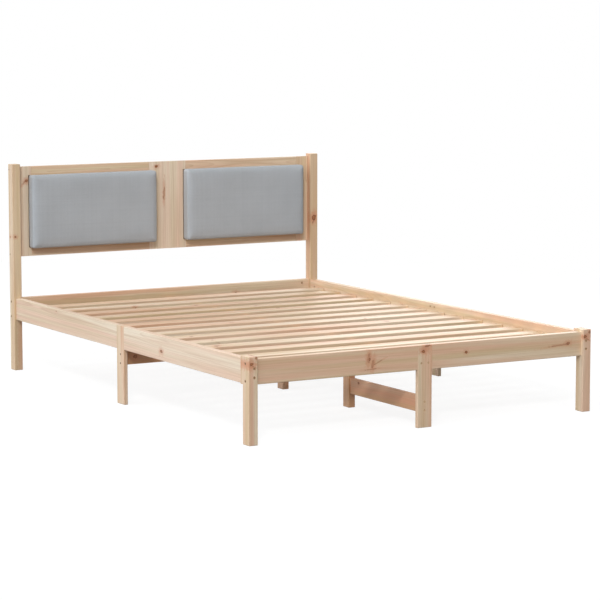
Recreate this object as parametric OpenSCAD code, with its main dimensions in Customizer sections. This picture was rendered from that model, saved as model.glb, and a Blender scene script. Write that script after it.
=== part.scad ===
// Pine bed frame with a two-pad headboard.
// X runs across the bed with left at -X. The foot end faces -Y and the head end +Y. Z = 0 is the floor.
// Everything is drawn for the left side first, and the right side is its mirror image.

/* [Sleeping area] */
// Width of the sleeping area
sleep_w = 1400; // [900:10:1800]
// Length of the sleeping area
sleep_l = 2000; // [1900:10:2200]
// Play between the sleeping area and each side rail
side_play = 6; // [2:1:15]
// Play between the sleeping area and the foot rail
foot_play = 6; // [2:1:15]
// Play between the sleeping area and the head rail
head_play = 23; // [10:1:40]

/* [Rails] */
// Thickness of the side, foot and head rails
rail_t = 27; // [24:1:32]
// Height of the side, foot and head rails
rail_h = 91; // [88:1:110]
// Height of the rails' underside above the floor
rail_under = 215; // [195:1:260]
// Depth of the slat tops below the rails' top
deck_drop = 31; // [24:1:34]
// Set-back of the side rails from the posts' outer faces
side_inset = 9; // [5:1:14]
// Set-back of the foot rail from the foot posts' front faces
foot_inset = 13; // [10:1:16]
// Easing of the long edges of all solid wood
ease = 1.5; // [0.5:0.5:2]

/* [Posts] */
// Depth of each post along the bed
post_d = 44; // [42:1:52]
// Depth of the foot posts beside the side rails
foot_block_d = 62; // [56:1:76]
// Height of the foot posts above the rails' top
foot_post_over = 10; // [4:1:30]
// Height of the head posts
head_post_h = 872; // [860:1:980]

/* [Headboard] */
// Drop of the headboard frame below the tops of the head posts
panel_drop = 12; // [6:1:40]
// Height of the headboard frame
panel_h = 380; // [330:1:430]
// Width of the headboard's center stile
center_stile_w = 180; // [150:1:220]
// Cover of each pad over the side and center stiles
pad_cover_x = 19; // [12:1:26]
// Cover of each pad over the top and bottom rails
pad_cover_z = 30; // [24:1:40]
// Thickness of the board behind each pad
backing_t = 9; // [6:1:12]
// Inset of the backing board from the pad's outline
backing_inset = 5; // [4:1:9]

/* [Pads] */
// How far the pads stand proud of the headboard frame
pad_proud = 52; // [46:1:70]
// Radius of the pads' corners, seen from the front
pad_corner = 14; // [12:1:24]
// Rounding of the pads' front edges
pad_round = 16; // [10:1:18]
// Crown of each pad's front
pad_crown = 6; // [2:1:8]
// Draw-in of the pads' sides at the back edge
pad_draw = 4; // [1:1:4]

/* [Flat boards] */
// Width of the flat boards: headboard frame, middle legs, stretcher and cross board
board_w = 62; // [56:1:70]
// Thickness of the flat boards
board_t = 16; // [14:1:18]

/* [Center supports] */
// Thickness of the center beam and legs across the bed
center_w = 28; // [26:1:36]
// Depth of the center legs along the bed
center_leg_d = 44; // [38:1:60]
// Distance of the outer center legs from mid-length
center_leg_y = 500; // [300:10:700]
// Height of the stretcher's lower edge above the floor
stretcher_z = 54; // [30:1:90]

/* [Slats and ledgers] */
// Width of each slat
slat_w = 70; // [50:1:80]
// Thickness of each slat
slat_t = 14; // [12:1:18]
// Play between the slat ends and the side rails
slat_play = 3; // [1:1:6]
// Distance of the outermost slat edges from the ledger ends
slat_edge = 5; // [0:1:20]
// Width of the ledgers under the slat ends
ledger_w = 20; // [18:1:28]
// Height of the ledgers
ledger_h = 28; // [24:1:30]
// Distance of the ledger ends from the side rail ends
ledger_end = 46; // [44:1:80]

/* [Corner bolts] */
// Diameter of the corner bolts
bolt_d = 6; // [5:1:6]
// Diameter of the bolt heads
bolt_head_d = 10; // [9:0.5:11]
// Height of the bolt heads
bolt_head_h = 6; // [5:0.5:6]
// Hexagon socket size across its flats
socket_af = 5; // [4:0.5:5]
// Depth that the bolt heads lie below the wood's face
head_sink = 0.5; // [0:0.5:2]
// Diameter of the barrel nuts
nut_d = 10; // [9:0.5:12]
// Length of the barrel nuts
nut_l = 20; // [16:1:22]
// Distance of the barrel nuts from the rail ends
nut_in = 35; // [30:1:38]
// Height of the lower cross bolts above the rails' underside
cross_bolt_low = 13; // [12:1:14]
// Height of the upper cross bolts above the rails' underside
cross_bolt_high = 75; // [74:1:78]
// Height of the lower lengthwise bolts above the rails' underside
long_bolt_low = 27; // [26:1:30]
// Height of the upper lengthwise bolts above the rails' underside
long_bolt_high = 59; // [50:1:61]

/* [Screws and dowels] */
// Shank diameter of the wood screws
screw_d = 4; // [3.5:0.5:4.5]
// Shank diameter of the screws down through the beam into the center legs
leg_screw_d = 5; // [4:0.5:5]
// Diameter of the headboard dowels
dowel_d = 8; // [6:1:8]
// Length of the headboard dowels
dowel_l = 40; // [24:1:40]
// Distance of the headboard screws from the headboard frame's top and bottom edges
headboard_screw_edge = 11; // [9:1:16]
// Radial clearance of bolts, screws and dowels in their bores
fit = 0.25; // [0.1:0.05:0.4]

/* [Beam brackets] */
// Length of each bracket leg
bracket_leg = 36; // [34:1:44]
// Height of the brackets
bracket_h = 36; // [30:1:40]
// Sheet thickness of the brackets
bracket_t = 2; // [1.5:0.5:3]

/* [Hidden] */

// Round parts have this many sides
$fn = 32;
// Overshoot of every cut beyond the face that it opens
cut = 1;

// Colours
pine = [0.80, 0.66, 0.50];
lit_pine = [0.84, 0.71, 0.55];
plywood = [0.74, 0.60, 0.42];
pad_grey = [0.62, 0.64, 0.66];
steel = [0.68, 0.69, 0.70];

// Overall sizes
inner_w = sleep_w + 2 * side_play;
inner_l = sleep_l + foot_play + head_play;
post_w = rail_t + side_inset;
outer_w = inner_w + 2 * post_w;
outer_l = foot_inset + rail_t + inner_l + rail_t;

// Faces across the bed, on the left side
outer_x = -outer_w / 2;
rail_out_x = outer_x + side_inset;
inner_x = rail_out_x + rail_t;
side_rail_mid_x = (rail_out_x + inner_x) / 2;

// Faces along the bed
foot_y = -outer_l / 2;
foot_rail_y = foot_y + foot_inset;
foot_inner_y = foot_rail_y + rail_t;
foot_rail_mid_y = (foot_rail_y + foot_inner_y) / 2;
foot_block_y = foot_y + foot_block_d;
head_y = outer_l / 2;
head_inner_y = head_y - rail_t;
head_rail_mid_y = (head_inner_y + head_y) / 2;
head_post_y = head_y - post_d;

// Heights
rail_top = rail_under + rail_h;
foot_post_h = rail_top + foot_post_over;
deck_z = rail_top - deck_drop;
slat_under = deck_z - slat_t;
beam_h = slat_under - rail_under;

// Headboard frame: outline, openings and joints
panel_top = head_post_h - panel_drop;
panel_bottom = panel_top - panel_h;
panel_front_y = head_y - board_t;
panel_mid_y = head_y - board_t / 2;
open_x0 = inner_x + board_w;
open_x1 = -center_stile_w / 2;
open_z0 = panel_bottom + board_w;
open_z1 = panel_top - board_w;

// Pads
pad_x0 = open_x0 - pad_cover_x;
pad_x1 = open_x1 + pad_cover_x;
pad_z0 = open_z0 - pad_cover_z;
pad_z1 = open_z1 + pad_cover_z;
pad_w = pad_x1 - pad_x0;
pad_h = pad_z1 - pad_z0;
pad_back_y = panel_front_y - backing_t;
pad_depth = pad_proud - backing_t;
// Height of the pad's side between its back edge and its rounded front edge
pad_side = pad_depth - pad_crown - pad_round;
// Radius at the tightest ring of the crown
pad_min_r = 2;
// Half height of the innermost ring
pad_core = 8;

// Ledgers and slats
side_rail_l = head_post_y - foot_block_y;
ledger_y0 = foot_block_y + ledger_end;
ledger_l = side_rail_l - 2 * ledger_end;
slat_count = 14;
slat_pitch = (ledger_l - 2 * slat_edge - slat_w) / (slat_count - 1);
slat_l = inner_w - 2 * slat_play;
// Gaps between slats, counted from the foot, where the ledgers are screwed to the rails
ledger_screw_gaps = [0, 2, 4, 8, 10, 12];

// Middle legs, cross board and stretcher
cross_z = rail_under - board_w;
cross_l = 2 * -(rail_out_x + board_t);
foot_leg_in_y = foot_rail_y + board_t;
stretcher_end_y = -center_leg_y - center_leg_d / 2;
mid_leg_front_y = -board_t / 2;
// Middles of the faces that carry the beam; the middle leg's is narrower, behind the cross board
leg_bearing_y = [-center_leg_y, mid_leg_front_y + (board_t + center_leg_d) / 2, center_leg_y];

// Heights and spacings of screws
cross_bolt_z = [rail_under + cross_bolt_low, rail_under + cross_bolt_high];
long_bolt_z = [rail_under + long_bolt_low, rail_under + long_bolt_high];
bolt_past_nut = 3;
nut_slot_w = 1.4;
nut_slot_depth = 1.5;
headboard_screw_grip = 24;
post_dowel_edge = 40;
// Heights of the two dowels in each rail end, from the rail's edge at the opening
rail_dowel_in = [14, 46];
panel_screw_edge = 60;
panel_screw_in = 15;
stretcher_screw_low = 10;
board_screw_high = 42;
stretcher_screw_z = [stretcher_z + stretcher_screw_low, stretcher_z + board_screw_high];
stretcher_screw_grip = 45;
cross_screw_low = 7;
cross_end_screw_z = [cross_z + cross_screw_low, cross_z + board_screw_high];
cross_end_grip = 34;
foot_leg_screw_x = board_w / 4;
foot_leg_screw_up = 24;
foot_leg_screw_z = rail_under + foot_leg_screw_up;
housing_wall = rail_t - board_t;
housing_skin = 4;
housing_screw_y = board_w / 4;
housing_screw_low = 9;
housing_screw_drop = 16;
housing_screw_z = [rail_under + housing_screw_low, rail_top - housing_screw_drop];
center_screw_step = 6;
// Wood left beyond the tips of the ledger and slat screws, and of screws that end near a far face
ledger_skin = 7;
slat_skin = 8;
thin_skin = 2;
leg_screw_grip = 30;
bracket_hole_in = 12;
bracket_screw_grip = 12;
bracket_head_h = 2;
bracket_z = rail_under + (beam_h - bracket_h) / 2;

// Shared shapes

// Rectangle with eased corners, from the origin to [w, h]
module eased_rect(w, h) {
    polygon([
        [ease, 0], [w - ease, 0], [w, ease], [w, h - ease],
        [w - ease, h], [ease, h], [0, h - ease], [0, ease]
    ]);
}

// Sticks with eased long edges, from the origin to the given size
module stick_x(size) {
    rotate([90, 0, 90])
        linear_extrude(size.x)
            eased_rect(size.y, size.z);
}

module stick_y(size) {
    translate([0, size.y, 0])
        rotate([90, 0, 0])
            linear_extrude(size.y)
                eased_rect(size.x, size.z);
}

module stick_z(size) {
    linear_extrude(size.z)
        eased_rect(size.x, size.y);
}

// Block with every edge eased
module eased_block(size) {
    intersection() {
        stick_x(size);
        stick_y(size);
        stick_z(size);
    }
}

// Draws the left side's shape and its mirror image on the right
module both_sides() {
    children();
    mirror([1, 0, 0])
        children();
}

// Draws only the mirror image, on the right
module right_side() {
    mirror([1, 0, 0])
        children();
}

// Fasteners run along +Z from the wood's face at Z = 0

module wood_screw(l, d = screw_d) {
    rotate_extrude()
        polygon([[0, 0], [d, 0], [d / 2, 0.8 * d], [d / 2, l - d], [0, l]]);
}

module screw_bore(l, d = screw_d) {
    rotate_extrude()
        polygon([
            [0, -cut], [d + fit, -cut], [d + fit, fit], [d / 2 + fit, 0.8 * d + fit],
            [d / 2 + fit, l + fit], [0, l + fit]
        ]);
}

// Socket-head bolt whose head lies sunk in the wood, with its tip at depth l
module corner_bolt(l) {
    translate([0, 0, head_sink])
        difference() {
            union() {
                cylinder(d = bolt_head_d, h = bolt_head_h);
                cylinder(d = bolt_d, h = l - head_sink);
            }
            translate([0, 0, -cut])
                cylinder(d = socket_af / cos(30), h = bolt_head_h / 2 + cut, $fn = 6);
        }
}

module bolt_bore(l) {
    translate([0, 0, -cut])
        cylinder(d = bolt_head_d + 4 * fit, h = head_sink + bolt_head_h + cut);
    cylinder(d = bolt_d + 2 * fit, h = l + cut);
}

// Barrel nut in a bore from a rail's inner face; its cross bore lies along X, or along Y if turned by 90
module barrel_nut(turn) {
    nut_from = (rail_t - nut_l) / 2;
    translate([0, 0, nut_from])
        rotate([0, 0, turn])
            difference() {
                cylinder(d = nut_d, h = nut_l);
                translate([-nut_d, 0, nut_l / 2])
                    rotate([0, 90, 0])
                        cylinder(d = bolt_d + 2 * fit, h = 2 * nut_d);
                translate([-nut_d, -nut_slot_w / 2, -cut])
                    cube([2 * nut_d, nut_slot_w, nut_slot_depth + cut]);
            }
}

module nut_bore() {
    translate([0, 0, -cut])
        cylinder(d = nut_d + 2 * fit, h = (rail_t + nut_l) / 2 + cut);
}

module dowel() {
    translate([0, 0, -dowel_l / 2])
        cylinder(d = dowel_d, h = dowel_l);
}

module dowel_bore() {
    translate([0, 0, -dowel_l / 2 - fit])
        cylinder(d = dowel_d + 2 * fit, h = dowel_l + 2 * fit);
}

// Places of the fasteners. Each place is used once for the fastener and once for its bores.

cross_bolt_l = post_w + nut_in + nut_d / 2 + bolt_past_nut;
foot_long_bolt_l = foot_block_d + nut_in + nut_d / 2 + bolt_past_nut;
head_long_bolt_l = post_d + nut_in + nut_d / 2 + bolt_past_nut;

module at_head_rail_bolts() {
    for (z = cross_bolt_z)
        translate([outer_x, head_rail_mid_y, z])
            rotate([0, 90, 0])
                children();
}

module at_foot_rail_bolts() {
    for (z = cross_bolt_z)
        translate([outer_x, foot_rail_mid_y, z])
            rotate([0, 90, 0])
                children();
}

module at_foot_long_bolts() {
    for (z = long_bolt_z)
        translate([side_rail_mid_x, foot_y, z])
            rotate([-90, 0, 0])
                children();
}

module at_head_long_bolts() {
    for (z = long_bolt_z)
        translate([side_rail_mid_x, head_y, z])
            rotate([90, 0, 0])
                children();
}

module at_head_rail_nuts() {
    for (z = cross_bolt_z)
        translate([inner_x + nut_in, head_inner_y, z])
            rotate([-90, 0, 0])
                children();
}

module at_foot_rail_nuts() {
    for (z = cross_bolt_z)
        translate([inner_x + nut_in, foot_inner_y, z])
            rotate([90, 0, 0])
                children();
}

module at_side_rail_nuts() {
    for (y = [foot_block_y + nut_in, head_post_y - nut_in], z = long_bolt_z)
        translate([inner_x, y, z])
            rotate([0, -90, 0])
                children();
}

headboard_screw_l = post_w + headboard_screw_grip;

// One screw through the left post into the side stile, near each end of the stile
module at_headboard_screws() {
    for (z = [panel_top - headboard_screw_edge, panel_bottom + headboard_screw_edge])
        translate([outer_x, panel_mid_y, z])
            rotate([0, 90, 0])
                children();
}

// One dowel beside each of those screws, half in the post and half in the stile
module at_post_dowels() {
    for (z = [panel_top - post_dowel_edge, panel_bottom + post_dowel_edge])
        translate([inner_x, panel_mid_y, z])
            rotate([0, 90, 0])
                children();
}

// Two dowels in each end of the left headboard rails, half in the rail and half in the stile
module at_rail_dowels() {
    for (x = [open_x0, open_x1], up = rail_dowel_in, z = [open_z0 - up, open_z1 + up])
        translate([x, panel_mid_y, z])
            rotate([0, 90, 0])
                children();
}

panel_screw_l = board_t + backing_t - thin_skin;

// Screws from the back of the headboard frame into the left pad's backing board
module at_panel_screws() {
    screw_x = [pad_x0 + panel_screw_edge, (pad_x0 + pad_x1) / 2, pad_x1 - panel_screw_edge];
    for (x = screw_x, z = [open_z0 - panel_screw_in, open_z1 + panel_screw_in])
        translate([x, head_y, z])
            rotate([90, 0, 0])
                children();
}

ledger_screw_l = ledger_w + rail_t - ledger_skin;

module at_ledger_screws() {
    for (gap = ledger_screw_gaps)
        translate([inner_x + ledger_w, slat_mid_y(gap) + slat_pitch / 2, slat_under - ledger_h / 2])
            rotate([0, -90, 0])
                children();
}

slat_screw_l = slat_t + ledger_h - slat_skin;

module at_slat_screws(i) {
    translate([inner_x + ledger_w / 2, slat_mid_y(i), deck_z])
        rotate([180, 0, 0])
            children();
}

leg_screw_l = beam_h + leg_screw_grip;

// Screws down through the beam into one center leg, whose bearing face is centered on mid_y
module at_leg_screws(mid_y) {
    for (step = [-1, 1])
        translate([0, mid_y + step * center_screw_step, slat_under])
            rotate([180, 0, 0])
                children();
}

cross_center_screw_l = center_leg_d - thin_skin;

module at_cross_center_screws() {
    for (x = [-1, 1] * center_w / 4)
        translate([x, mid_leg_front_y, cross_z + board_w / 2])
            rotate([-90, 0, 0])
                children();
}

cross_end_screw_l = board_t + cross_end_grip;

module at_cross_end_screws() {
    for (z = cross_end_screw_z)
        translate([rail_out_x, 0, z])
            rotate([0, 90, 0])
                children();
}

housing_screw_l = housing_wall + board_t - housing_skin;

// Screws from a side rail's inner face into the middle leg in its housing
module at_mid_leg_screws() {
    for (y = [-1, 1] * housing_screw_y, z = housing_screw_z)
        translate([inner_x, y, z])
            rotate([0, -90, 0])
                children();
}

foot_leg_screw_l = rail_t - thin_skin;

module at_foot_leg_screws() {
    for (x = [-1, 1] * foot_leg_screw_x)
        translate([x, foot_rail_y, foot_leg_screw_z])
            rotate([-90, 0, 0])
                children();
}

front_stretcher_screw_l = board_t + stretcher_screw_grip;
back_stretcher_screw_l = center_leg_d + stretcher_screw_grip;

module at_front_stretcher_screws() {
    for (z = stretcher_screw_z)
        translate([0, foot_rail_y, z])
            rotate([-90, 0, 0])
                children();
}

module at_back_stretcher_screws() {
    for (z = stretcher_screw_z)
        translate([0, -center_leg_y + center_leg_d / 2, z])
            rotate([90, 0, 0])
                children();
}

// Posts

module head_post() {
    difference() {
        translate([outer_x, head_post_y, 0])
            eased_block([post_w, post_d, head_post_h]);
        at_head_rail_bolts()
            bolt_bore(cross_bolt_l);
        at_head_long_bolts()
            bolt_bore(head_long_bolt_l);
        at_headboard_screws()
            screw_bore(headboard_screw_l);
        at_post_dowels()
            dowel_bore();
    }
}

// The post is deeper beside the side rail and is sawn back below it
module foot_post() {
    difference() {
        translate([outer_x, foot_y, 0])
            eased_block([post_w, foot_block_d, foot_post_h]);
        translate([outer_x - cut, foot_y + post_d, -cut])
            cube([post_w + 2 * cut, foot_block_d - post_d + cut, rail_under + cut]);
        at_foot_rail_bolts()
            bolt_bore(cross_bolt_l);
        at_foot_long_bolts()
            bolt_bore(foot_long_bolt_l);
    }
}

// Rails

module side_rail() {
    difference() {
        translate([rail_out_x, foot_block_y, rail_under])
            stick_y([rail_t, side_rail_l, rail_h]);
        translate([rail_out_x - cut, -board_w / 2, rail_under - cut])
            cube([board_t + cut, board_w, rail_h + 2 * cut]);
        at_foot_long_bolts()
            bolt_bore(foot_long_bolt_l);
        at_head_long_bolts()
            bolt_bore(head_long_bolt_l);
        at_side_rail_nuts()
            nut_bore();
        at_mid_leg_screws()
            screw_bore(housing_screw_l);
        at_ledger_screws()
            screw_bore(ledger_screw_l);
    }
}

module foot_rail() {
    color(pine)
        difference() {
            translate([inner_x, foot_rail_y, rail_under])
                stick_x([inner_w, rail_t, rail_h]);
            translate([-board_w / 2, foot_rail_y - cut, rail_under - cut])
                cube([board_w, board_t + cut, rail_h + 2 * cut]);
            both_sides() {
                at_foot_rail_bolts()
                    bolt_bore(cross_bolt_l);
                at_foot_rail_nuts()
                    nut_bore();
                at_rail_bracket_screws(foot_inner_y, 1)
                    pan_bore();
            }
            at_foot_leg_screws()
                screw_bore(foot_leg_screw_l);
        }
}

module head_rail() {
    color(pine)
        difference() {
            translate([inner_x, head_inner_y, rail_under])
                stick_x([inner_w, rail_t, rail_h]);
            both_sides() {
                at_head_rail_bolts()
                    bolt_bore(cross_bolt_l);
                at_head_rail_nuts()
                    nut_bore();
                at_rail_bracket_screws(head_inner_y, -1)
                    pan_bore();
            }
        }
}

// Headboard frame: the stiles run its full height, with a rail above and below each opening

module headboard_rail(z) {
    difference() {
        translate([open_x0, panel_front_y, z])
            stick_x([open_x1 - open_x0, board_t, board_w]);
        at_rail_dowels()
            dowel_bore();
        at_panel_screws()
            screw_bore(panel_screw_l);
    }
}

module headboard_stile() {
    difference() {
        translate([inner_x, panel_front_y, panel_bottom])
            stick_z([board_w, board_t, panel_h]);
        at_headboard_screws()
            screw_bore(headboard_screw_l);
        at_post_dowels()
            dowel_bore();
        at_rail_dowels()
            dowel_bore();
    }
}

module headboard_center_stile() {
    color(pine)
        difference() {
            translate([open_x1, panel_front_y, panel_bottom])
                stick_z([center_stile_w, board_t, panel_h]);
            both_sides()
                at_rail_dowels()
                    dowel_bore();
        }
}

// Pads: a backing board and an upholstered pad with drawn-in sides, rounded front edges and a crown

module panel_backing() {
    difference() {
        translate([pad_x0 + backing_inset, pad_back_y, pad_z0 + backing_inset])
            cube([pad_w - 2 * backing_inset, backing_t, pad_h - 2 * backing_inset]);
        at_panel_screws()
            screw_bore(panel_screw_l);
    }
}

// Steps along the side, round the front edge, over the crown, and round each corner
pad_side_steps = 4;
pad_round_steps = 5;
pad_crown_steps = 7;
pad_corner_steps = 6;

function smooth(t) = t * t * (3 - 2 * t);

// Each ring of the pad is [inset from the outline, depth in front of the backing board]
function pad_rings() = concat(
    [for (i = [0:pad_side_steps - 1])
        let (t = i / pad_side_steps)
        [pad_draw * (1 - sin(90 * t)), pad_side * t]],
    [for (i = [0:pad_round_steps])
        let (a = 90 * i / pad_round_steps)
        [pad_round * (1 - cos(a)), pad_side + pad_round * sin(a)]],
    [for (i = [1:pad_crown_steps])
        let (t = i / pad_crown_steps)
        [pad_round + t * (pad_h / 2 - pad_core - pad_round), pad_side + pad_round + pad_crown * smooth(t)]]
);

// Points of one ring, as a rounded rectangle in the pad's own X and Z, at the ring's depth
function pad_ring(ring) =
    let (
        inset = ring[0],
        r = max(pad_corner - inset, pad_min_r),
        cx = pad_w / 2 - inset - r,
        cz = pad_h / 2 - inset - r
    )
    [for (corner = [[1, 1, 0], [-1, 1, 90], [-1, -1, 180], [1, -1, 270]], i = [0:pad_corner_steps])
        let (a = corner[2] + 90 * i / pad_corner_steps)
        [corner[0] * cx + r * cos(a), -ring[1], corner[1] * cz + r * sin(a)]];

module panel_pad() {
    rings = pad_rings();
    n = 4 * (pad_corner_steps + 1);
    last = len(rings) - 1;
    back_point = n * len(rings);
    front_point = back_point + 1;
    points = concat(
        [for (ring = rings, p = pad_ring(ring)) p],
        [[0, 0, 0], [0, -pad_depth, 0]]
    );
    walls = [for (k = [0:last - 1], i = [0:n - 1], half = [0, 1])
        let (a = k * n + i, b = k * n + (i + 1) % n)
        half == 0 ? [a, b, b + n] : [a, b + n, a + n]];
    back = [for (i = [0:n - 1]) [back_point, (i + 1) % n, i]];
    front = [for (i = [0:n - 1]) [front_point, last * n + i, last * n + (i + 1) % n]];
    translate([(pad_x0 + pad_x1) / 2, pad_back_y, (pad_z0 + pad_z1) / 2])
        polyhedron(points, concat(walls, back, front));
}

// Slat deck

function slat_mid_y(i) = ledger_y0 + slat_edge + slat_w / 2 + i * slat_pitch;

module slat_ledger() {
    difference() {
        translate([inner_x, ledger_y0, slat_under - ledger_h])
            stick_y([ledger_w, ledger_l, ledger_h]);
        at_ledger_screws()
            screw_bore(ledger_screw_l);
        for (i = [0:slat_count - 1])
            at_slat_screws(i)
                screw_bore(slat_screw_l);
    }
}

// Slat number i, counted from 0 at the foot
module slat(i) {
    color(lit_pine)
        difference() {
            translate([-slat_l / 2, slat_mid_y(i) - slat_w / 2, slat_under])
                stick_x([slat_l, slat_w, slat_t]);
            both_sides()
                at_slat_screws(i)
                    screw_bore(slat_screw_l);
        }
}

// Center beam and legs

module center_beam() {
    color(pine)
        difference() {
            translate([-center_w / 2, foot_inner_y, rail_under])
                stick_y([center_w, inner_l, beam_h]);
            for (mid_y = leg_bearing_y)
                at_leg_screws(mid_y)
                    screw_bore(leg_screw_l, leg_screw_d);
            both_sides() {
                at_beam_bracket_screws(foot_inner_y, 1)
                    pan_bore();
                at_beam_bracket_screws(head_inner_y, -1)
                    pan_bore();
            }
        }
}

module center_leg(front_y, bearing_y) {
    difference() {
        translate([-center_w / 2, front_y, 0])
            eased_block([center_w, center_leg_d, rail_under]);
        at_leg_screws(bearing_y)
            screw_bore(leg_screw_l, leg_screw_d);
    }
}

module center_leg_head() {
    color(pine)
        center_leg(center_leg_y - center_leg_d / 2, leg_bearing_y[2]);
}

// The middle leg has a seat in its front face for the cross board
module center_leg_middle() {
    color(pine)
        difference() {
            center_leg(mid_leg_front_y, leg_bearing_y[1]);
            translate([-center_w, mid_leg_front_y - cut, cross_z])
                cube([2 * center_w, board_t + cut, board_w + cut]);
            at_cross_center_screws()
                screw_bore(cross_center_screw_l);
        }
}

module center_leg_foot() {
    color(pine)
        difference() {
            center_leg(stretcher_end_y, leg_bearing_y[0]);
            at_back_stretcher_screws()
                screw_bore(back_stretcher_screw_l);
        }
}

// Middle legs let into the rails, with the boards that they hold

module foot_middle_leg() {
    color(pine)
        difference() {
            translate([-board_w / 2, foot_rail_y, 0])
                eased_block([board_w, board_t, rail_top]);
            at_foot_leg_screws()
                screw_bore(foot_leg_screw_l);
            at_front_stretcher_screws()
                screw_bore(front_stretcher_screw_l);
        }
}

module stretcher() {
    color(pine)
        difference() {
            translate([-board_t / 2, foot_leg_in_y, stretcher_z])
                stick_y([board_t, stretcher_end_y - foot_leg_in_y, board_w]);
            at_front_stretcher_screws()
                screw_bore(front_stretcher_screw_l);
            at_back_stretcher_screws()
                screw_bore(back_stretcher_screw_l);
        }
}

module mid_leg() {
    difference() {
        translate([rail_out_x, -board_w / 2, 0])
            eased_block([board_t, board_w, rail_top]);
        at_cross_end_screws()
            screw_bore(cross_end_screw_l);
        at_mid_leg_screws()
            screw_bore(housing_screw_l);
    }
}

module cross_board() {
    color(pine)
        difference() {
            translate([-cross_l / 2, -board_t / 2, cross_z])
                stick_x([cross_l, board_t, board_w]);
            both_sides()
                at_cross_end_screws()
                    screw_bore(cross_end_screw_l);
            at_cross_center_screws()
                screw_bore(cross_center_screw_l);
        }
}

// Steel angle brackets between the beam's ends and the cross rails, with pan-head screws

bracket_screw_z = [bracket_z + bracket_h / 4, bracket_z + 3 * bracket_h / 4];

module pan_screw() {
    translate([0, 0, -bracket_head_h])
        cylinder(d = 2 * screw_d, h = bracket_head_h);
    cylinder(d = screw_d, h = bracket_t + bracket_screw_grip);
}

module pan_bore() {
    translate([0, 0, -cut])
        cylinder(d = screw_d + 2 * fit, h = bracket_t + bracket_screw_grip + cut + fit);
}

// Screws through a bracket into the cross rail whose inner face is at y.
// into_bed is 1 at the foot end and -1 at the head end.
module at_rail_bracket_screws(y, into_bed) {
    for (z = bracket_screw_z)
        translate([-center_w / 2 - bracket_leg + bracket_hole_in, y + into_bed * bracket_t, z])
            rotate([into_bed * 90, 0, 0])
                children();
}

// Screws through the same bracket into the beam's left side
module at_beam_bracket_screws(y, into_bed) {
    for (z = bracket_screw_z)
        translate([-center_w / 2 - bracket_t, y + into_bed * (bracket_leg - bracket_hole_in), z])
            rotate([0, 90, 0])
                children();
}

module beam_bracket(y, into_bed) {
    rail_leg_y = into_bed > 0 ? y : y - bracket_t;
    beam_leg_y = into_bed > 0 ? y : y - bracket_leg;
    difference() {
        union() {
            translate([-center_w / 2 - bracket_leg, rail_leg_y, bracket_z])
                cube([bracket_leg, bracket_t, bracket_h]);
            translate([-center_w / 2 - bracket_t, beam_leg_y, bracket_z])
                cube([bracket_t, bracket_leg, bracket_h]);
        }
        at_rail_bracket_screws(y, into_bed)
            pan_bore();
        at_beam_bracket_screws(y, into_bed)
            pan_bore();
    }
}

module beam_brackets() {
    color(steel)
        both_sides() {
            beam_bracket(foot_inner_y, 1);
            beam_bracket(head_inner_y, -1);
        }
}

// Groups of fasteners

module head_rail_bolts() {
    color(steel)
        both_sides()
            at_head_rail_bolts()
                corner_bolt(cross_bolt_l);
}

module foot_rail_bolts() {
    color(steel)
        both_sides()
            at_foot_rail_bolts()
                corner_bolt(cross_bolt_l);
}

module side_rail_head_bolts() {
    color(steel)
        both_sides()
            at_head_long_bolts()
                corner_bolt(head_long_bolt_l);
}

module side_rail_foot_bolts() {
    color(steel)
        both_sides()
            at_foot_long_bolts()
                corner_bolt(foot_long_bolt_l);
}

module barrel_nuts() {
    color(steel)
        both_sides() {
            at_head_rail_nuts()
                barrel_nut(0);
            at_foot_rail_nuts()
                barrel_nut(0);
            at_side_rail_nuts()
                barrel_nut(90);
        }
}

module headboard_screws() {
    color(steel)
        both_sides()
            at_headboard_screws()
                wood_screw(headboard_screw_l);
}

module headboard_dowels() {
    color(lit_pine)
        both_sides() {
            at_post_dowels()
                dowel();
            at_rail_dowels()
                dowel();
        }
}

module panel_screws() {
    color(steel)
        both_sides()
            at_panel_screws()
                wood_screw(panel_screw_l);
}

module ledger_screws() {
    color(steel)
        both_sides()
            at_ledger_screws()
                wood_screw(ledger_screw_l);
}

module slat_screws() {
    color(steel)
        both_sides()
            for (i = [0:slat_count - 1])
                at_slat_screws(i)
                    wood_screw(slat_screw_l);
}

module bracket_screws() {
    color(steel)
        both_sides()
            for (end = [[foot_inner_y, 1], [head_inner_y, -1]]) {
                at_rail_bracket_screws(end[0], end[1])
                    pan_screw();
                at_beam_bracket_screws(end[0], end[1])
                    pan_screw();
            }
}

module center_leg_screws() {
    color(steel)
        for (mid_y = leg_bearing_y)
            at_leg_screws(mid_y)
                wood_screw(leg_screw_l, leg_screw_d);
}

module cross_board_screws() {
    color(steel) {
        both_sides()
            at_cross_end_screws()
                wood_screw(cross_end_screw_l);
        at_cross_center_screws()
            wood_screw(cross_center_screw_l);
    }
}

module housing_screws() {
    color(steel) {
        both_sides()
            at_mid_leg_screws()
                wood_screw(housing_screw_l);
        at_foot_leg_screws()
            wood_screw(foot_leg_screw_l);
    }
}

module stretcher_screws() {
    color(steel) {
        at_front_stretcher_screws()
            wood_screw(front_stretcher_screw_l);
        at_back_stretcher_screws()
            wood_screw(back_stretcher_screw_l);
    }
}

// Left and right pieces of each pair

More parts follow.
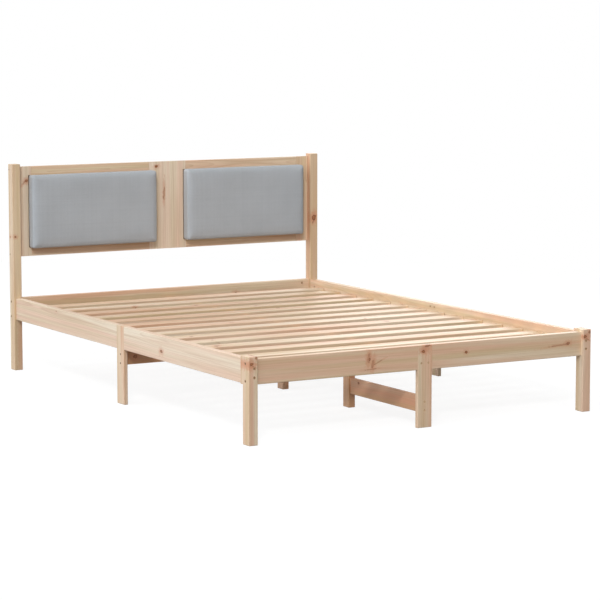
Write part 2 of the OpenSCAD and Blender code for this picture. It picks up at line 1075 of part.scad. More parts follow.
module head_post_left() { color(pine) head_post(); }
module head_post_right() { color(pine) right_side() head_post(); }
module foot_post_left() { color(pine) foot_post(); }
module foot_post_right() { color(pine) right_side() foot_post(); }
module headboard_top_rail_left() { color(pine) headboard_rail(open_z1); }
module headboard_top_rail_right() { color(pine) right_side() headboard_rail(open_z1); }
module headboard_bottom_rail_left() { color(pine) headboard_rail(panel_bottom); }
module headboard_bottom_rail_right() { color(pine) right_side() headboard_rail(panel_bottom); }
module headboard_stile_left() { color(pine) headboard_stile(); }
module headboard_stile_right() { color(pine) right_side() headboard_stile(); }
module panel_backing_left() { color(plywood) panel_backing(); }
module panel_backing_right() { color(plywood) right_side() panel_backing(); }
module panel_pad_left() { color(pad_grey) panel_pad(); }
module panel_pad_right() { color(pad_grey) right_side() panel_pad(); }
module side_rail_left() { color(lit_pine) side_rail(); }
module side_rail_right() { color(lit_pine) right_side() side_rail(); }
module slat_ledger_left() { color(pine) slat_ledger(); }
module slat_ledger_right() { color(pine) right_side() slat_ledger(); }
module mid_leg_left() { color(lit_pine) mid_leg(); }
module mid_leg_right() { color(lit_pine) right_side() mid_leg(); }

head_post_left();
head_post_right();
foot_post_left();
foot_post_right();
headboard_top_rail_left();
headboard_top_rail_right();
headboard_bottom_rail_left();
headboard_bottom_rail_right();
headboard_stile_left();
headboard_stile_right();
headboard_center_stile();
panel_backing_left();
panel_backing_right();
panel_pad_left();
panel_pad_right();
head_rail();
foot_rail();
side_rail_left();
side_rail_right();
slat_ledger_left();
slat_ledger_right();
center_beam();
center_leg_head();
center_leg_middle();
center_leg_foot();
foot_middle_leg();
stretcher();
cross_board();
mid_leg_left();
mid_leg_right();
slat(0);  // slat_01
slat(1);  // slat_02
slat(2);  // slat_03
slat(3);  // slat_04
slat(4);  // slat_05
slat(5);  // slat_06
slat(6);  // slat_07
slat(7);  // slat_08
slat(8);  // slat_09
slat(9);  // slat_10
slat(10);  // slat_11
slat(11);  // slat_12
slat(12);  // slat_13
slat(13);  // slat_14
beam_brackets();
head_rail_bolts();
foot_rail_bolts();
side_rail_head_bolts();
side_rail_foot_bolts();
barrel_nuts();
headboard_screws();
headboard_dowels();
panel_screws();
ledger_screws();
slat_screws();
bracket_screws();
center_leg_screws();
cross_board_screws();
housing_screws();
stretcher_screws();
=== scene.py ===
# %% [markdown]
# A pine bed frame with two upholstered headboard pads.
# Every board, leg, slat and screw arrives as a finished solid in metres, so this lesson is about surfaces and
# soft forms: pine with its rings and knots, bare plywood, zinc-plated steel, and two fabric pads that replace
# the plain solids that hold their place.

# %% Load the frame and keep its box
import math
import random
import bpy
from mathutils import Euler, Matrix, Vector, noise


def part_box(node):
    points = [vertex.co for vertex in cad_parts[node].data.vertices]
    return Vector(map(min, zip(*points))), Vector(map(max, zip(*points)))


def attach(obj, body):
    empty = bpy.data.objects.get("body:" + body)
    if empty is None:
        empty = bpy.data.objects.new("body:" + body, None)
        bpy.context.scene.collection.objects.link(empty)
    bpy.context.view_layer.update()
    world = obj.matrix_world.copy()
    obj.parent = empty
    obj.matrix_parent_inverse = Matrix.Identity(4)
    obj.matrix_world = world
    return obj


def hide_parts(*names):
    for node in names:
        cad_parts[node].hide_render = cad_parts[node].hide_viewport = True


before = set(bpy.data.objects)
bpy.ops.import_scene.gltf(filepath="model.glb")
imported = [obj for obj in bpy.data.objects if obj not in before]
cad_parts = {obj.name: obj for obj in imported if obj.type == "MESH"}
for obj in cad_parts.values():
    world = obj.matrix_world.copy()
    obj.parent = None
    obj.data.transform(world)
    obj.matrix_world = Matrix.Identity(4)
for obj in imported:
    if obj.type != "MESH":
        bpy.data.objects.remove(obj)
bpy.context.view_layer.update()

FLOOR_Z = 0.0

# %% [markdown]
# The photograph was taken with a long lens from the front left corner, a little above the bed. The camera's
# place was solved from the edges of posts and rails. It looks down by a few degrees and needs no shift, so
# every other view of the bed stays centred.

# %% Camera at the photograph's angle
CAMERA_PLACE = Vector((-4.8284, -8.4751, 1.5590))
CAMERA_YAW = math.radians(30.03)
CAMERA_DOWN = math.radians(7.00)
CAMERA_LENS = 146.9

camera = bpy.data.objects.new("camera", bpy.data.cameras.new("camera"))
bpy.context.scene.collection.objects.link(camera)
camera.location = CAMERA_PLACE
camera.rotation_euler = (math.pi / 2 - CAMERA_DOWN, 0, -CAMERA_YAW)
camera.data.sensor_width = 36.0
camera.data.lens = CAMERA_LENS
camera.data.clip_end = 100.0
bpy.context.scene.camera = camera
print("camera distance", round(CAMERA_PLACE.length, 2), "m")

# %% [markdown]
# Shader networks are built in code here, so small helpers keep every network readable. One adds a node and
# fills or links its inputs, and others add a sum on numbers or vectors, a soft step or a mix of two colours.
# The rest make and place node groups, start and end a material, and turn a painter's colour into a linear
# one.

# %% Helpers for shader networks
def feed(tree, socket, value):
    """Links another node's socket to this one, or fills in a plain value."""
    if isinstance(value, bpy.types.NodeSocket):
        tree.links.new(value, socket)
    else:
        socket.default_value = value


def add(tree, kind, inputs=None, **settings):
    """Adds a shader node. Inputs are values, or sockets of other nodes."""
    made = tree.nodes.new("ShaderNode" + kind)
    for name, value in settings.items():
        setattr(made, name, value)
    for key, value in (inputs or {}).items():
        feed(tree, made.inputs[key], value)
    return made


def calc(tree, operation, *values):
    """One sum on numbers, such as ADD or POWER."""
    return add(tree, "Math", dict(enumerate(values)), operation=operation).outputs[0]


def vector_calc(tree, operation, *values):
    """One sum on vectors, such as MULTIPLY. LENGTH and DOT_PRODUCT give a number."""
    made = add(tree, "VectorMath", dict(enumerate(values)), operation=operation)
    return made.outputs["Value" if operation in ("LENGTH", "DOT_PRODUCT") else "Vector"]


def ease(tree, value, low, high, start=0.0, end=1.0):
    """A soft step from start to end while value goes from low to high."""
    numbers = {"Value": value, "From Min": low, "From Max": high, "To Min": start, "To Max": end}
    return add(tree, "MapRange", numbers, interpolation_type="SMOOTHSTEP").outputs["Result"]


def blend(tree, factor, first, second, mode="MIX"):
    """Mixes two colours. In a mix of colours, inputs 6 and 7 and output 2 are the coloured ones."""
    return add(tree, "Mix", {0: factor, 6: first, 7: second}, data_type="RGBA", blend_type=mode).outputs[2]


def group_tree(name, inputs, outputs):
    """Starts a node group with named sockets, and returns it with its entry and exit nodes."""
    tree = bpy.data.node_groups.new(name, "ShaderNodeTree")
    for label, kind in inputs.items():
        tree.interface.new_socket(label, in_out="INPUT", socket_type="NodeSocket" + kind)
    for label, kind in outputs.items():
        tree.interface.new_socket(label, in_out="OUTPUT", socket_type="NodeSocket" + kind)
    entry = tree.nodes.new("NodeGroupInput")
    leave = tree.nodes.new("NodeGroupOutput")
    return tree, entry, leave


def use_group(tree, group, inputs):
    """Places a node group in a material and returns its outputs."""
    return add(tree, "Group", inputs, node_tree=group).outputs


def new_material(name):
    """A material with an empty network, its tree and its output node."""
    material = bpy.data.materials.new(name)
    material.use_nodes = True
    material.node_tree.nodes.clear()
    return material, material.node_tree, material.node_tree.nodes.new("ShaderNodeOutputMaterial")


def end_material(tree, out, inputs):
    """Ends a network in the usual surface shader, with the given inputs."""
    shader = add(tree, "BsdfPrincipled", inputs)
    tree.links.new(shader.outputs[0], out.inputs["Surface"])


def srgb(red, green, blue):
    """A colour as a painter names it, from 0 to 255, turned into the linear colour that shaders use."""
    def linear(v):
        v = v / 255
        return v / 12.92 if v <= 0.04045 else ((v + 0.055) / 1.055) ** 2.4
    return (linear(red), linear(green), linear(blue), 1.0)


print("helpers ready")

# %% [markdown]
# The room is a white sweep with very soft light, as in a studio tent. The sky is brighter and a little cooler
# on the left, and brighter overhead, so the left faces and the tops of the boards are the brightest and the
# shadows stay soft. Lamps add direction: the key lamp stands far off at the front left and throws the
# slanting patch of light on the low stretcher, one lamp hangs above the bed for the headboard, and one keeps
# the far side and the back from going dull. Rays from the camera or from mirror-like surfaces see the sky as
# plain white.

# %% World and lamps
SKY_EVEN = 0.08
SKY_LEFT = 1.9
SKY_UP = 0.26
WARM_LIGHT = (1.03, 1.0, 0.94, 1.0)
COOL_LIGHT = (0.93, 1.0, 1.08, 1.0)
WHITE_LIGHT = (1.0, 1.0, 1.0, 1.0)
LAMPS = {
    "key lamp": {"place": (-8.9, -12.8, 10.3), "aim": (0.0, -0.3, 0.3), "size": 2.0, "power": 1050.0},
    "head lamp": {"place": (-0.4, -2.2, 4.4), "aim": (0.0, 1.0, 0.6), "size": 2.6, "power": 34.0},
    "back lamp": {"place": (6.0, 6.5, 4.2), "aim": (0.0, 0.0, 0.4), "size": 4.0, "power": 240.0},
}


def seen_directly(tree):
    """One for rays from the camera, from mirror-like surfaces and through glass, otherwise zero."""
    path = add(tree, "LightPath").outputs
    return calc(tree, "MAXIMUM", path["Is Camera Ray"],
                calc(tree, "MAXIMUM", path["Is Glossy Ray"], path["Is Transmission Ray"]))


world = bpy.data.worlds.new("white room")
world.use_nodes = True
bpy.context.scene.world = world
sky = world.node_tree
sky.nodes.clear()
sky_out = sky.nodes.new("ShaderNodeOutputWorld")
way = add(sky, "SeparateXYZ", {0: add(sky, "TexCoord").outputs["Generated"]}).outputs
left = calc(sky, "MULTIPLY", calc(sky, "MAXIMUM", calc(sky, "MULTIPLY", way["X"], -1.0), 0.0), SKY_LEFT)
up = calc(sky, "MULTIPLY", calc(sky, "MAXIMUM", way["Z"], 0.0), SKY_UP)
sky_even = add(sky, "Background", {"Color": WARM_LIGHT, "Strength": calc(sky, "ADD", up, SKY_EVEN)})
sky_side = add(sky, "Background", {"Color": COOL_LIGHT, "Strength": left})
sky_light = add(sky, "AddShader", {0: sky_even.outputs[0], 1: sky_side.outputs[0]})
sky_white = add(sky, "Background", {"Color": WHITE_LIGHT, "Strength": 1.0})
sky_mix = add(sky, "MixShader", {0: seen_directly(sky), 1: sky_light.outputs[0], 2: sky_white.outputs[0]})
sky.links.new(sky_mix.outputs[0], sky_out.inputs["Surface"])


def soft_lamp(name, place, aim, size, power):
    """A square soft lamp that points at aim. Its size is in metres and its power in watts."""
    lamp = bpy.data.objects.new(name, bpy.data.lights.new(name, "AREA"))
    lamp.data.shape = "SQUARE"
    lamp.data.size = size
    lamp.data.energy = power
    lamp.location = place
    lamp.rotation_euler = (Vector(aim) - lamp.location).to_track_quat("-Z", "Y").to_euler()
    bpy.context.scene.collection.objects.link(lamp)


for name, values in LAMPS.items():
    soft_lamp(name, **values)
bpy.context.scene.view_settings.view_transform = "Standard"
print("sky", SKY_EVEN, SKY_LEFT, SKY_UP, "watts", {name: values["power"] for name, values in LAMPS.items()})

# %% [markdown]
# The floor is a wide pale disc. Near the bed it takes the soft shadow, and a little glow that only direct
# rays see lifts the rest to white. Further out the glow takes over, so no horizon shows.

# %% Floor
FLOOR_RADIUS = 40.0
FLOOR_SIDES = 96
FLOOR_GAP = 0.0005
FLOOR_PAINT = (0.22, 0.22, 0.22, 1.0)
NEAR_GLOW = 0.84
NEAR_RADIUS = 1.6
FAR_RADIUS = 4.2
NEAR_SHAPE = (1.0, 0.8, 0.0)

floor_mesh = bpy.data.meshes.new("floor")
turns = [2 * math.pi * i / FLOOR_SIDES for i in range(FLOOR_SIDES)]
rim = [(FLOOR_RADIUS * math.cos(turn), FLOOR_RADIUS * math.sin(turn), FLOOR_Z - FLOOR_GAP) for turn in turns]
floor_mesh.from_pydata(rim, [], [tuple(range(FLOOR_SIDES))])
floor = bpy.data.objects.new("floor", floor_mesh)
bpy.context.scene.collection.objects.link(floor)
floor_paint, tree, out = new_material("white floor")
oval = vector_calc(tree, "MULTIPLY", add(tree, "TexCoord").outputs["Object"], NEAR_SHAPE)
near = ease(tree, vector_calc(tree, "LENGTH", oval), NEAR_RADIUS, FAR_RADIUS, 1.0, 0.0)
direct = seen_directly(tree)
paint = add(tree, "BsdfPrincipled", {"Base Color": FLOOR_PAINT, "Roughness": 0.9, "Specular IOR Level": 0.0})
glow = add(tree, "Emission", {"Color": WHITE_LIGHT, "Strength": calc(tree, "MULTIPLY", direct, NEAR_GLOW)})
white = add(tree, "Emission", {"Color": WHITE_LIGHT, "Strength": 1.0})
lit = add(tree, "AddShader", {0: paint.outputs[0], 1: glow.outputs[0]})
far = calc(tree, "MULTIPLY", direct, calc(tree, "SUBTRACT", 1.0, near))
surface = add(tree, "MixShader", {0: far, 1: lit.outputs[0], 2: white.outputs[0]})
tree.links.new(surface.outputs[0], out.inputs["Surface"])
floor_mesh.materials.append(floor_paint)
print("floor radius", FLOOR_RADIUS, "m")

# %% [markdown]
# Pine is a stack of yearly rings round a pith. A saw cuts through that stack, which gives long lines on the
# faces, arches where the cut is nearly flat to the rings, and arcs on the ends. One solid pattern gives all
# three, so a board's faces and ends agree: the distance from a pith that lies outside the board, folded into
# rings, each pale at first and dark at its end. Slow noise lets the pith wander and makes the years uneven,
# and wider noise gives the broad tones and bands. The pattern works in the board's own grain direction, with
# its first coordinate along the length.

# %% Node group for growth rings
RING_WIDTH = 0.0034
RING_DRIFT = 0.07
UNEVEN_CELLS = 70.0
UNEVEN_RINGS = 3.0
LATE_SHARPNESS = 3.0


def grain_noise(tree, place, seed, along, across, detail):
    """Noise that is stretched along the grain. along and across count its cells per metre."""
    spread = vector_calc(tree, "MULTIPLY", place, (along, across, across))
    numbers = {"Vector": spread, "W": seed, "Scale": 1.0, "Detail": detail}
    return add(tree, "TexNoise", numbers, noise_dimensions="4D")


def make_ring_group():
    """Masks of the yearly rings: late wood, broad tones and bands, fine streaks and fibres."""
    tree, entry, leave = group_tree(
        "growth rings",
        {"Position": "Vector", "Seed": "Float", "Bend": "Float"},
        {"Late": "Float", "Tone": "Float", "Band": "Float", "Streak": "Float", "Fibre": "Float"},
    )
    place, seed, bend = entry.outputs["Position"], entry.outputs["Seed"], entry.outputs["Bend"]
    drift = grain_noise(tree, place, seed, along=0.9, across=2.6, detail=1.5).outputs["Color"]
    drift = vector_calc(tree, "SUBTRACT", drift, (0.5, 0.5, 0.5))
    drift = vector_calc(tree, "MULTIPLY", drift, (0.0, RING_DRIFT, RING_DRIFT))
    across = vector_calc(tree, "MULTIPLY", vector_calc(tree, "ADD", place, drift), (0.0, 1.0, 1.0))
    radius = calc(tree, "ADD", vector_calc(tree, "LENGTH", across), bend)
    wander = calc(tree, "ADD", calc(tree, "MULTIPLY", radius, UNEVEN_CELLS), seed)
    uneven = add(tree, "TexNoise", {"W": wander, "Scale": 1.0}, noise_dimensions="1D").outputs["Fac"]
    uneven = calc(tree, "MULTIPLY", uneven, UNEVEN_RINGS)
    count = calc(tree, "ADD", calc(tree, "DIVIDE", radius, RING_WIDTH), uneven)
    part = calc(tree, "FRACT", count)
    late = calc(tree, "POWER", part, LATE_SHARPNESS)
    late = calc(tree, "MULTIPLY", late, ease(tree, part, 0.9, 1.0, 1.0, 0.0))
    year = add(tree, "TexWhiteNoise", {"W": calc(tree, "FLOOR", count)}, noise_dimensions="1D")
    late = calc(tree, "MULTIPLY", late, ease(tree, year.outputs["Value"], 0.0, 1.0, 0.35, 1.0))
    tree.links.new(late, leave.inputs["Late"])
    tone = grain_noise(tree, place, seed, along=1.1, across=26.0, detail=2.0).outputs["Fac"]
    tree.links.new(ease(tree, tone, 0.36, 0.64), leave.inputs["Tone"])
    other_seed = calc(tree, "ADD", seed, 40.0)
    band = grain_noise(tree, place, other_seed, along=0.8, across=38.0, detail=2.0).outputs["Fac"]
    tree.links.new(ease(tree, band, 0.42, 0.68), leave.inputs["Band"])
    streak = grain_noise(tree, place, seed, along=3.5, across=210.0, detail=2.0).outputs["Fac"]
    tree.links.new(streak, leave.inputs["Streak"])
    fibre = grain_noise(tree, place, seed, along=40.0, across=1500.0, detail=1.0).outputs["Fac"]
    tree.links.new(fibre, leave.inputs["Fibre"])
    return tree


RING_GROUP = make_ring_group()
print("group", RING_GROUP.name, "with rings of", RING_WIDTH * 1000, "mm")

# %% [markdown]
# A knot is the foot of a branch that the trunk grew round. On a planed face it shows as a brown oval with a
# darker rim and a warm reddish halo, and the rings swerve round it. The group measures the distance from the
# branch's axis with two arrows, one along the oval and one across it, each as long as one over its half
# width. The direction that the branch runs in is left out, so the knot goes right through the board.

# %% Node group for one knot
HALO_REACH = 3.6
SWERVE_REACH = 4.5
SWERVE_MOST = 1.7


def make_knot_group():
    """Masks of one knot, and how far it pushes the rings aside. A reach of one is the oval's own outline."""
    tree, entry, leave = group_tree(
        "knot",
        {"Position": "Vector", "Centre": "Vector", "Long": "Vector", "Short": "Vector", "Size": "Float"},
        {"Core": "Float", "Rim": "Float", "Halo": "Float", "Bend": "Float"},
    )
    place = entry.outputs["Position"]
    offset = vector_calc(tree, "SUBTRACT", place, entry.outputs["Centre"])
    long_way = vector_calc(tree, "DOT_PRODUCT", offset, entry.outputs["Long"])
    short_way = vector_calc(tree, "DOT_PRODUCT", offset, entry.outputs["Short"])
    pair = add(tree, "CombineXYZ", {"X": long_way, "Y": short_way}).outputs[0]
    uneven = add(tree, "TexNoise", {"Vector": place, "Scale": 110.0, "Detail": 2.0}).outputs["Fac"]
    uneven = ease(tree, uneven, 0.25, 0.75, 0.75, 1.3)
    reach = calc(tree, "MULTIPLY", vector_calc(tree, "LENGTH", pair), uneven)
    tree.links.new(ease(tree, reach, 0.7, 1.15, 1.0, 0.0), leave.inputs["Core"])
    rim_start = ease(tree, reach, 0.55, 0.85, 0.0, 1.0)
    rim_end = ease(tree, reach, 0.9, 1.15, 1.0, 0.0)
    tree.links.new(calc(tree, "MULTIPLY", rim_start, rim_end), leave.inputs["Rim"])
    tree.links.new(ease(tree, reach, 0.6, HALO_REACH, 1.0, 0.0), leave.inputs["Halo"])
    swerve = ease(tree, reach, 0.0, SWERVE_REACH, 1.0, 0.0)
    swerve = calc(tree, "MULTIPLY", swerve, entry.outputs["Size"])
    tree.links.new(calc(tree, "MULTIPLY", swerve, SWERVE_MOST), leave.inputs["Bend"])
    return tree


KNOT_GROUP = make_knot_group()
print("group", KNOT_GROUP.name)

# %% [markdown]
# One function paints any pine board. It turns the bed's coordinates so that the first runs along the grain,
# moves the pith to one side of the board, adds the board's own knots, and mixes pale early wood, pinkish and
# honey-coloured bands, and thin darker late wood. The finish is a matt satin, so the gloss stays low.

# %% Pine for one board
MM = 0.001
PALE_WOOD = srgb(238, 218, 190)
PINK_WOOD = srgb(228, 184, 153)
HONEY_WOOD = srgb(210, 185, 140)
LATE_WOOD = srgb(188, 148, 112)
# Paler wood for high tones; on some boards it is painted light.
PALE_TONE_AND_PAINTED_LIGHT = srgb(252, 244, 230)
# Deeper wood for low tones; on some boards it is painted shade.
DEEP_TONE_AND_PAINTED_SHADE = srgb(200, 123, 80)
# Warm halo round knots, also used for one zone of painted shade.
HALO_AND_SHADE_WOOD = srgb(209, 146, 112)
KNOT_WOOD = srgb(154, 94, 54)
BARK_WOOD = srgb(98, 58, 36)
GRAIN_TURN = {"X": (0.0, 0.0, 0.0), "Y": (0.0, 0.0, -math.pi / 2), "Z": (0.0, math.pi / 2, 0.0)}
FACE_WAYS = {"X": ((0, 1, 0), (0, 0, 1)), "Y": ((1, 0, 0), (0, 0, 1)), "Z": ((1, 0, 0), (0, 1, 0))}
PITH_NEAR = 0.034
PITH_STEP = 0.016
PITH_STEPS = 5
PITH_TURN = 2.4
LENGTH_STEP = 0.37
SEED_STEP = 3.7
GRAIN_RELIEF = 0.00012


def knot(x, y, z, branch, long, short, angle=0, dark=0.8, glow=0.6):
    """A knot in millimetres. branch is the axis that it runs along, angle turns its oval in degrees."""
    first, second = (Vector(way) for way in FACE_WAYS[branch])
    turned = math.radians(angle)
    long_way = (first * math.cos(turned) + second * math.sin(turned)) / (long * MM)
    short_way = (second * math.cos(turned) - first * math.sin(turned)) / (short * MM)
    return {"centre": Vector((x, y, z)) * MM, "long": long_way, "short": short_way,
            "size": short * MM, "dark": dark, "glow": glow}


def grain_position(tree, node, grain, seed):
    """Coordinates along and across the grain of one board, measured from its pith."""
    low, high = (Vector(corner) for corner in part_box(node))
    turn = Euler(GRAIN_TURN[grain]).to_matrix()
    angle = PITH_TURN * seed
    distance = PITH_NEAR + PITH_STEP * (seed % PITH_STEPS)
    pith = Vector((LENGTH_STEP * seed, distance * math.cos(angle), distance * math.sin(angle)))
    shift = pith - turn @ ((low + high) / 2)
    coordinates = add(tree, "TexCoord").outputs["Object"]
    place = add(tree, "Mapping", {"Vector": coordinates, "Location": shift, "Rotation": GRAIN_TURN[grain]})
    return place.outputs["Vector"], turn, shift


def pine(name, node, grain, seed, knots=(), tone=0.0):
    """A pine material for one board. tone above zero makes the board paler, below zero deeper.
    On some boards the paler tone is painted light and the deeper tone painted shade.
    """
    material, tree, out = new_material(name)
    place, turn, shift = grain_position(tree, node, grain, seed)
    core, rim, halo_and_shade, bend = 0.0, 0.0, 0.0, 0.0
    for each in knots:
        parts = use_group(tree, KNOT_GROUP, {
            "Position": place, "Centre": turn @ each["centre"] + shift,
            "Long": turn @ each["long"], "Short": turn @ each["short"], "Size": each["size"]})
        core = calc(tree, "MAXIMUM", core, calc(tree, "MULTIPLY", parts["Core"], each["dark"]))
        rim = calc(tree, "MAXIMUM", rim, calc(tree, "MULTIPLY", parts["Rim"], each["dark"]))
        halo_and_shade = calc(tree, "MAXIMUM", halo_and_shade, calc(tree, "MULTIPLY", parts["Halo"], each["glow"]))
        bend = calc(tree, "ADD", bend, parts["Bend"])
    rings = use_group(tree, RING_GROUP, {"Position": place, "Seed": seed * SEED_STEP, "Bend": bend})
    colour = blend(tree, rings["Tone"], PALE_WOOD, PINK_WOOD)
    colour = blend(tree, calc(tree, "MULTIPLY", rings["Band"], 0.7), colour, HONEY_WOOD)
    # A high tone mixes toward paler wood and a low tone toward deeper wood, on some boards as painted light
    # and shade.
    colour = blend(tree, abs(tone), colour, PALE_TONE_AND_PAINTED_LIGHT if tone > 0 else DEEP_TONE_AND_PAINTED_SHADE)
    colour = blend(tree, calc(tree, "MULTIPLY", rings["Late"], 0.55), colour, LATE_WOOD)
    colour = blend(tree, ease(tree, rings["Streak"], 0.4, 0.75, 0.0, 0.3), colour, LATE_WOOD)
    colour = blend(tree, ease(tree, rings["Fibre"], 0.3, 0.8, 0.0, 0.14), colour, LATE_WOOD)
    if knots:
        # Knot halos, and one zone of painted shade on the left head post.
        colour = blend(tree, halo_and_shade, colour, HALO_AND_SHADE_WOOD)
        colour = blend(tree, core, colour, KNOT_WOOD)
        colour = blend(tree, rim, colour, BARK_WOOD)
    fibres = calc(tree, "MULTIPLY", rings["Fibre"], 0.6)
    height = calc(tree, "ADD", calc(tree, "MULTIPLY", rings["Late"], 0.5), fibres)
    bump = add(tree, "Bump", {"Height": height, "Strength": 0.5, "Distance": GRAIN_RELIEF})
    roughness = ease(tree, rings["Late"], 0.0, 1.0, 0.5, 0.4)
    end_material(tree, out, {
        "Base Color": colour, "Roughness": roughness, "Normal": bump.outputs["Normal"],
        "Specular IOR Level": 0.3})
    return material


def dress(node, material):
    """Gives every face of a solid the new material."""
    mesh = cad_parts[node].data
    mesh.materials.clear()
    mesh.materials.append(material)
    for face in mesh.polygons:
        face.material_index = 0


print("pine ready")

# %% [markdown]
# Each board has its own seed, so no two share a pattern, and the knots sit where the photograph shows them.
# A knot whose dark value is zero has no core. It is a warm zone, as wood has where a branch lies deeper,
# apart from the long one low on the left head post, which is painted shade below the side rail. The high
# tones of the left and centre stiles are painted light, and the low tones of the right head post and of the
# beam, centre legs, stretcher and cross board under the deck are painted shade. Each row names the axis of
# the grain, the seed, the tone and the knots.

# %% Dress every pine board
BOARDS = {
    "head_post_left": ("Z", 27, 0.04, [
        knot(-732, 1010, 567, "Y", 5, 4),
        knot(-733, 1036, 565, "X", 4, 3, dark=0.5),
        # Painted shade: a long coreless warm zone below the side rail, on the inner part of the post's front.
        knot(-711, 1010, 105, "Y", 55, 7, 90, dark=0.0, glow=0.4)]),
    # Painted shade: the right head post's low tone.
    "head_post_right": ("Z", 2, -0.1, [
        knot(723, 1010, 585, "Y", 13, 9, 80, dark=0.75, glow=0.9),
        knot(719, 1010, 566, "Y", 7, 4, 60, dark=0.4)]),
    "foot_post_left": ("Z", 3, 0.05, [
        knot(-731, -1030, 290, "Y", 7, 5, 20, glow=0.9),
        knot(-722, -1030, 281, "Y", 8, 2, -25, dark=0.35, glow=0.8),
        knot(-712, -1030, 312, "Y", 4, 5, dark=0.6),
        knot(-725, -1022, 290, "X", 6, 5, dark=0.3, glow=0.8),
        knot(-734, -1030, 287, "Y", 11, 8, dark=0.0, glow=0.85)]),
    "foot_post_right": ("Z", 4, 0.12, [
        knot(715, -1030, 289, "Y", 7, 5, 20, glow=0.9),
        knot(724, -1030, 279, "Y", 8, 2, -25, dark=0.35, glow=0.8),
        knot(735, -1030, 306, "Y", 4, 5, dark=0.6),
        knot(720, -1030, 288, "Y", 9, 7, dark=0.0, glow=0.7)]),
    "headboard_top_rail_left": ("X", 5, 0.0, []),
    "headboard_top_rail_right": ("X", 25, 0.0, []),
    "headboard_bottom_rail_left": ("X", 6, 0.12, []),
    "headboard_bottom_rail_right": ("X", 26, 0.0, []),
    # Painted light: the high tones of the left and centre stiles.
    "headboard_stile_left": ("Z", 7, 0.38, [
        knot(-667, 1040, 799, "Y", 8, 6, 15, dark=0.65, glow=0.7),
        knot(-677, 1040, 792, "Y", 11, 3, 50, dark=0.3, glow=0.5)]),
    "headboard_stile_right": ("Z", 8, 0.12, []),
    "headboard_center_stile": ("Z", 9, 0.4, [
        knot(-17, 1040, 722, "Y", 26, 3, 88, dark=0.45),
        knot(-53, 1040, 839, "Y", 7, 5, 10, dark=0.95)]),
    "head_rail": ("X", 10, 0.0, [knot(330, 1034, 262, "Y", 9, 6)]),
    "foot_rail": ("X", 11, 0.06, [
        knot(-241, -1020, 274, "Y", 16, 6, 84, dark=0.25, glow=0.75),
        knot(-223, -1020, 252, "Y", 15, 5, 80, dark=0.3, glow=0.75),
        knot(-237, -1020, 270, "Y", 6, 4, 80, dark=0.7, glow=0.3),
        knot(-203, -1020, 256, "Y", 22, 1.6, 24, dark=0.4, glow=0.4),
        knot(-232, -1020, 233, "Y", 24, 1.8, 3, dark=0.35, glow=0.3),
        knot(181, -1020, 266, "Y", 6, 5, 0, dark=0.9, glow=0.4),
        knot(645, -1020, 267, "Y", 10, 5, 8, dark=0.6),
        knot(602, -1020, 262, "Y", 42, 2.4, 5, dark=0.35, glow=0.4)]),
    "side_rail_left": ("Y", 12, 0.28, [
        knot(-719, 597, 297, "X", 5, 3, dark=0.4, glow=0.3),
        knot(-719, -350, 250, "X", 9, 6)]),
    "side_rail_right": ("Y", 13, 0.0, [
        knot(719, 240, 262, "X", 9, 7),
        knot(719, -610, 240, "X", 7, 5)]),
    "slat_ledger_left": ("Y", 14, 0.0, []),
    "slat_ledger_right": ("Y", 15, 0.0, []),
    # Painted shade: the low tones of the beam, centre legs, stretcher and cross board under the deck.
    "center_beam": ("Y", 16, -0.3, [knot(0, -260, 240, "X", 7, 6)]),
    "center_leg_head": ("Z", 17, -0.5, []),
    "center_leg_middle": ("Z", 18, -0.5, []),
    "center_leg_foot": ("Z", 19, -0.5, []),
    "foot_middle_leg": ("Z", 20, 0.0, [
        knot(-7, -1027, 282, "Y", 7, 5, 0, dark=0.75, glow=1.0),
        knot(12, -1027, 303, "Y", 10, 5, 8, dark=0.5, glow=0.7),
        knot(-4, -1027, 290, "Y", 13, 8, dark=0.0, glow=0.75)]),
    "stretcher": ("Y", 21, -0.5, [knot(0, -583, 103, "X", 6, 4, dark=0.9)]),
    "cross_board": ("X", 22, -0.55, [knot(-672, 0, 183, "Y", 8, 7, dark=0.55, glow=0.9)]),
    "mid_leg_left": ("Z", 23, -0.08, []),
    "mid_leg_right": ("Z", 24, 0.0, [knot(725, 8, 120, "X", 6, 6)]),
}

for node, (grain, seed, tone, knots) in BOARDS.items():
    dress(node, pine("pine " + node, node, grain, seed, knots, tone))
print("boards", len(BOARDS))

# %% Dress the slats with knots by chance
SLAT_WORD = "slat_"
FIRST_SLAT_SEED = 30
KNOTS_IN_A_SLAT = (0, 1, 1, 2)
KNOT_FIELD_LONG = 640
KNOT_FIELD_WIDE = 30

slats = sorted(
    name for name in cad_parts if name.startswith(SLAT_WORD) and name[len(SLAT_WORD):].isdigit())
chance = random.Random(7)
for number, node in enumerate(slats):
    low, high = (Vector(corner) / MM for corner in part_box(node))
    middle = (low + high) / 2
    knots = []
    for _ in range(chance.choice(KNOTS_IN_A_SLAT)):
        x = middle.x + chance.uniform(-KNOT_FIELD_LONG, KNOT_FIELD_LONG)
        y = middle.y + chance.uniform(-KNOT_FIELD_WIDE, KNOT_FIELD_WIDE)
        short = chance.uniform(3.5, 7.5)
        long = short * chance.uniform(1.0, 1.7)
        knots.append(knot(x, y, middle.z, "Z", long, short, chance.uniform(-40, 40),
                          dark=chance.uniform(0.5, 0.85), glow=chance.uniform(0.4, 0.7)))
    tone = chance.uniform(-0.08, 0.12)
    dress(node, pine("pine " + node, node, "X", FIRST_SLAT_SEED + number, knots, tone))
print("slats", len(slats))

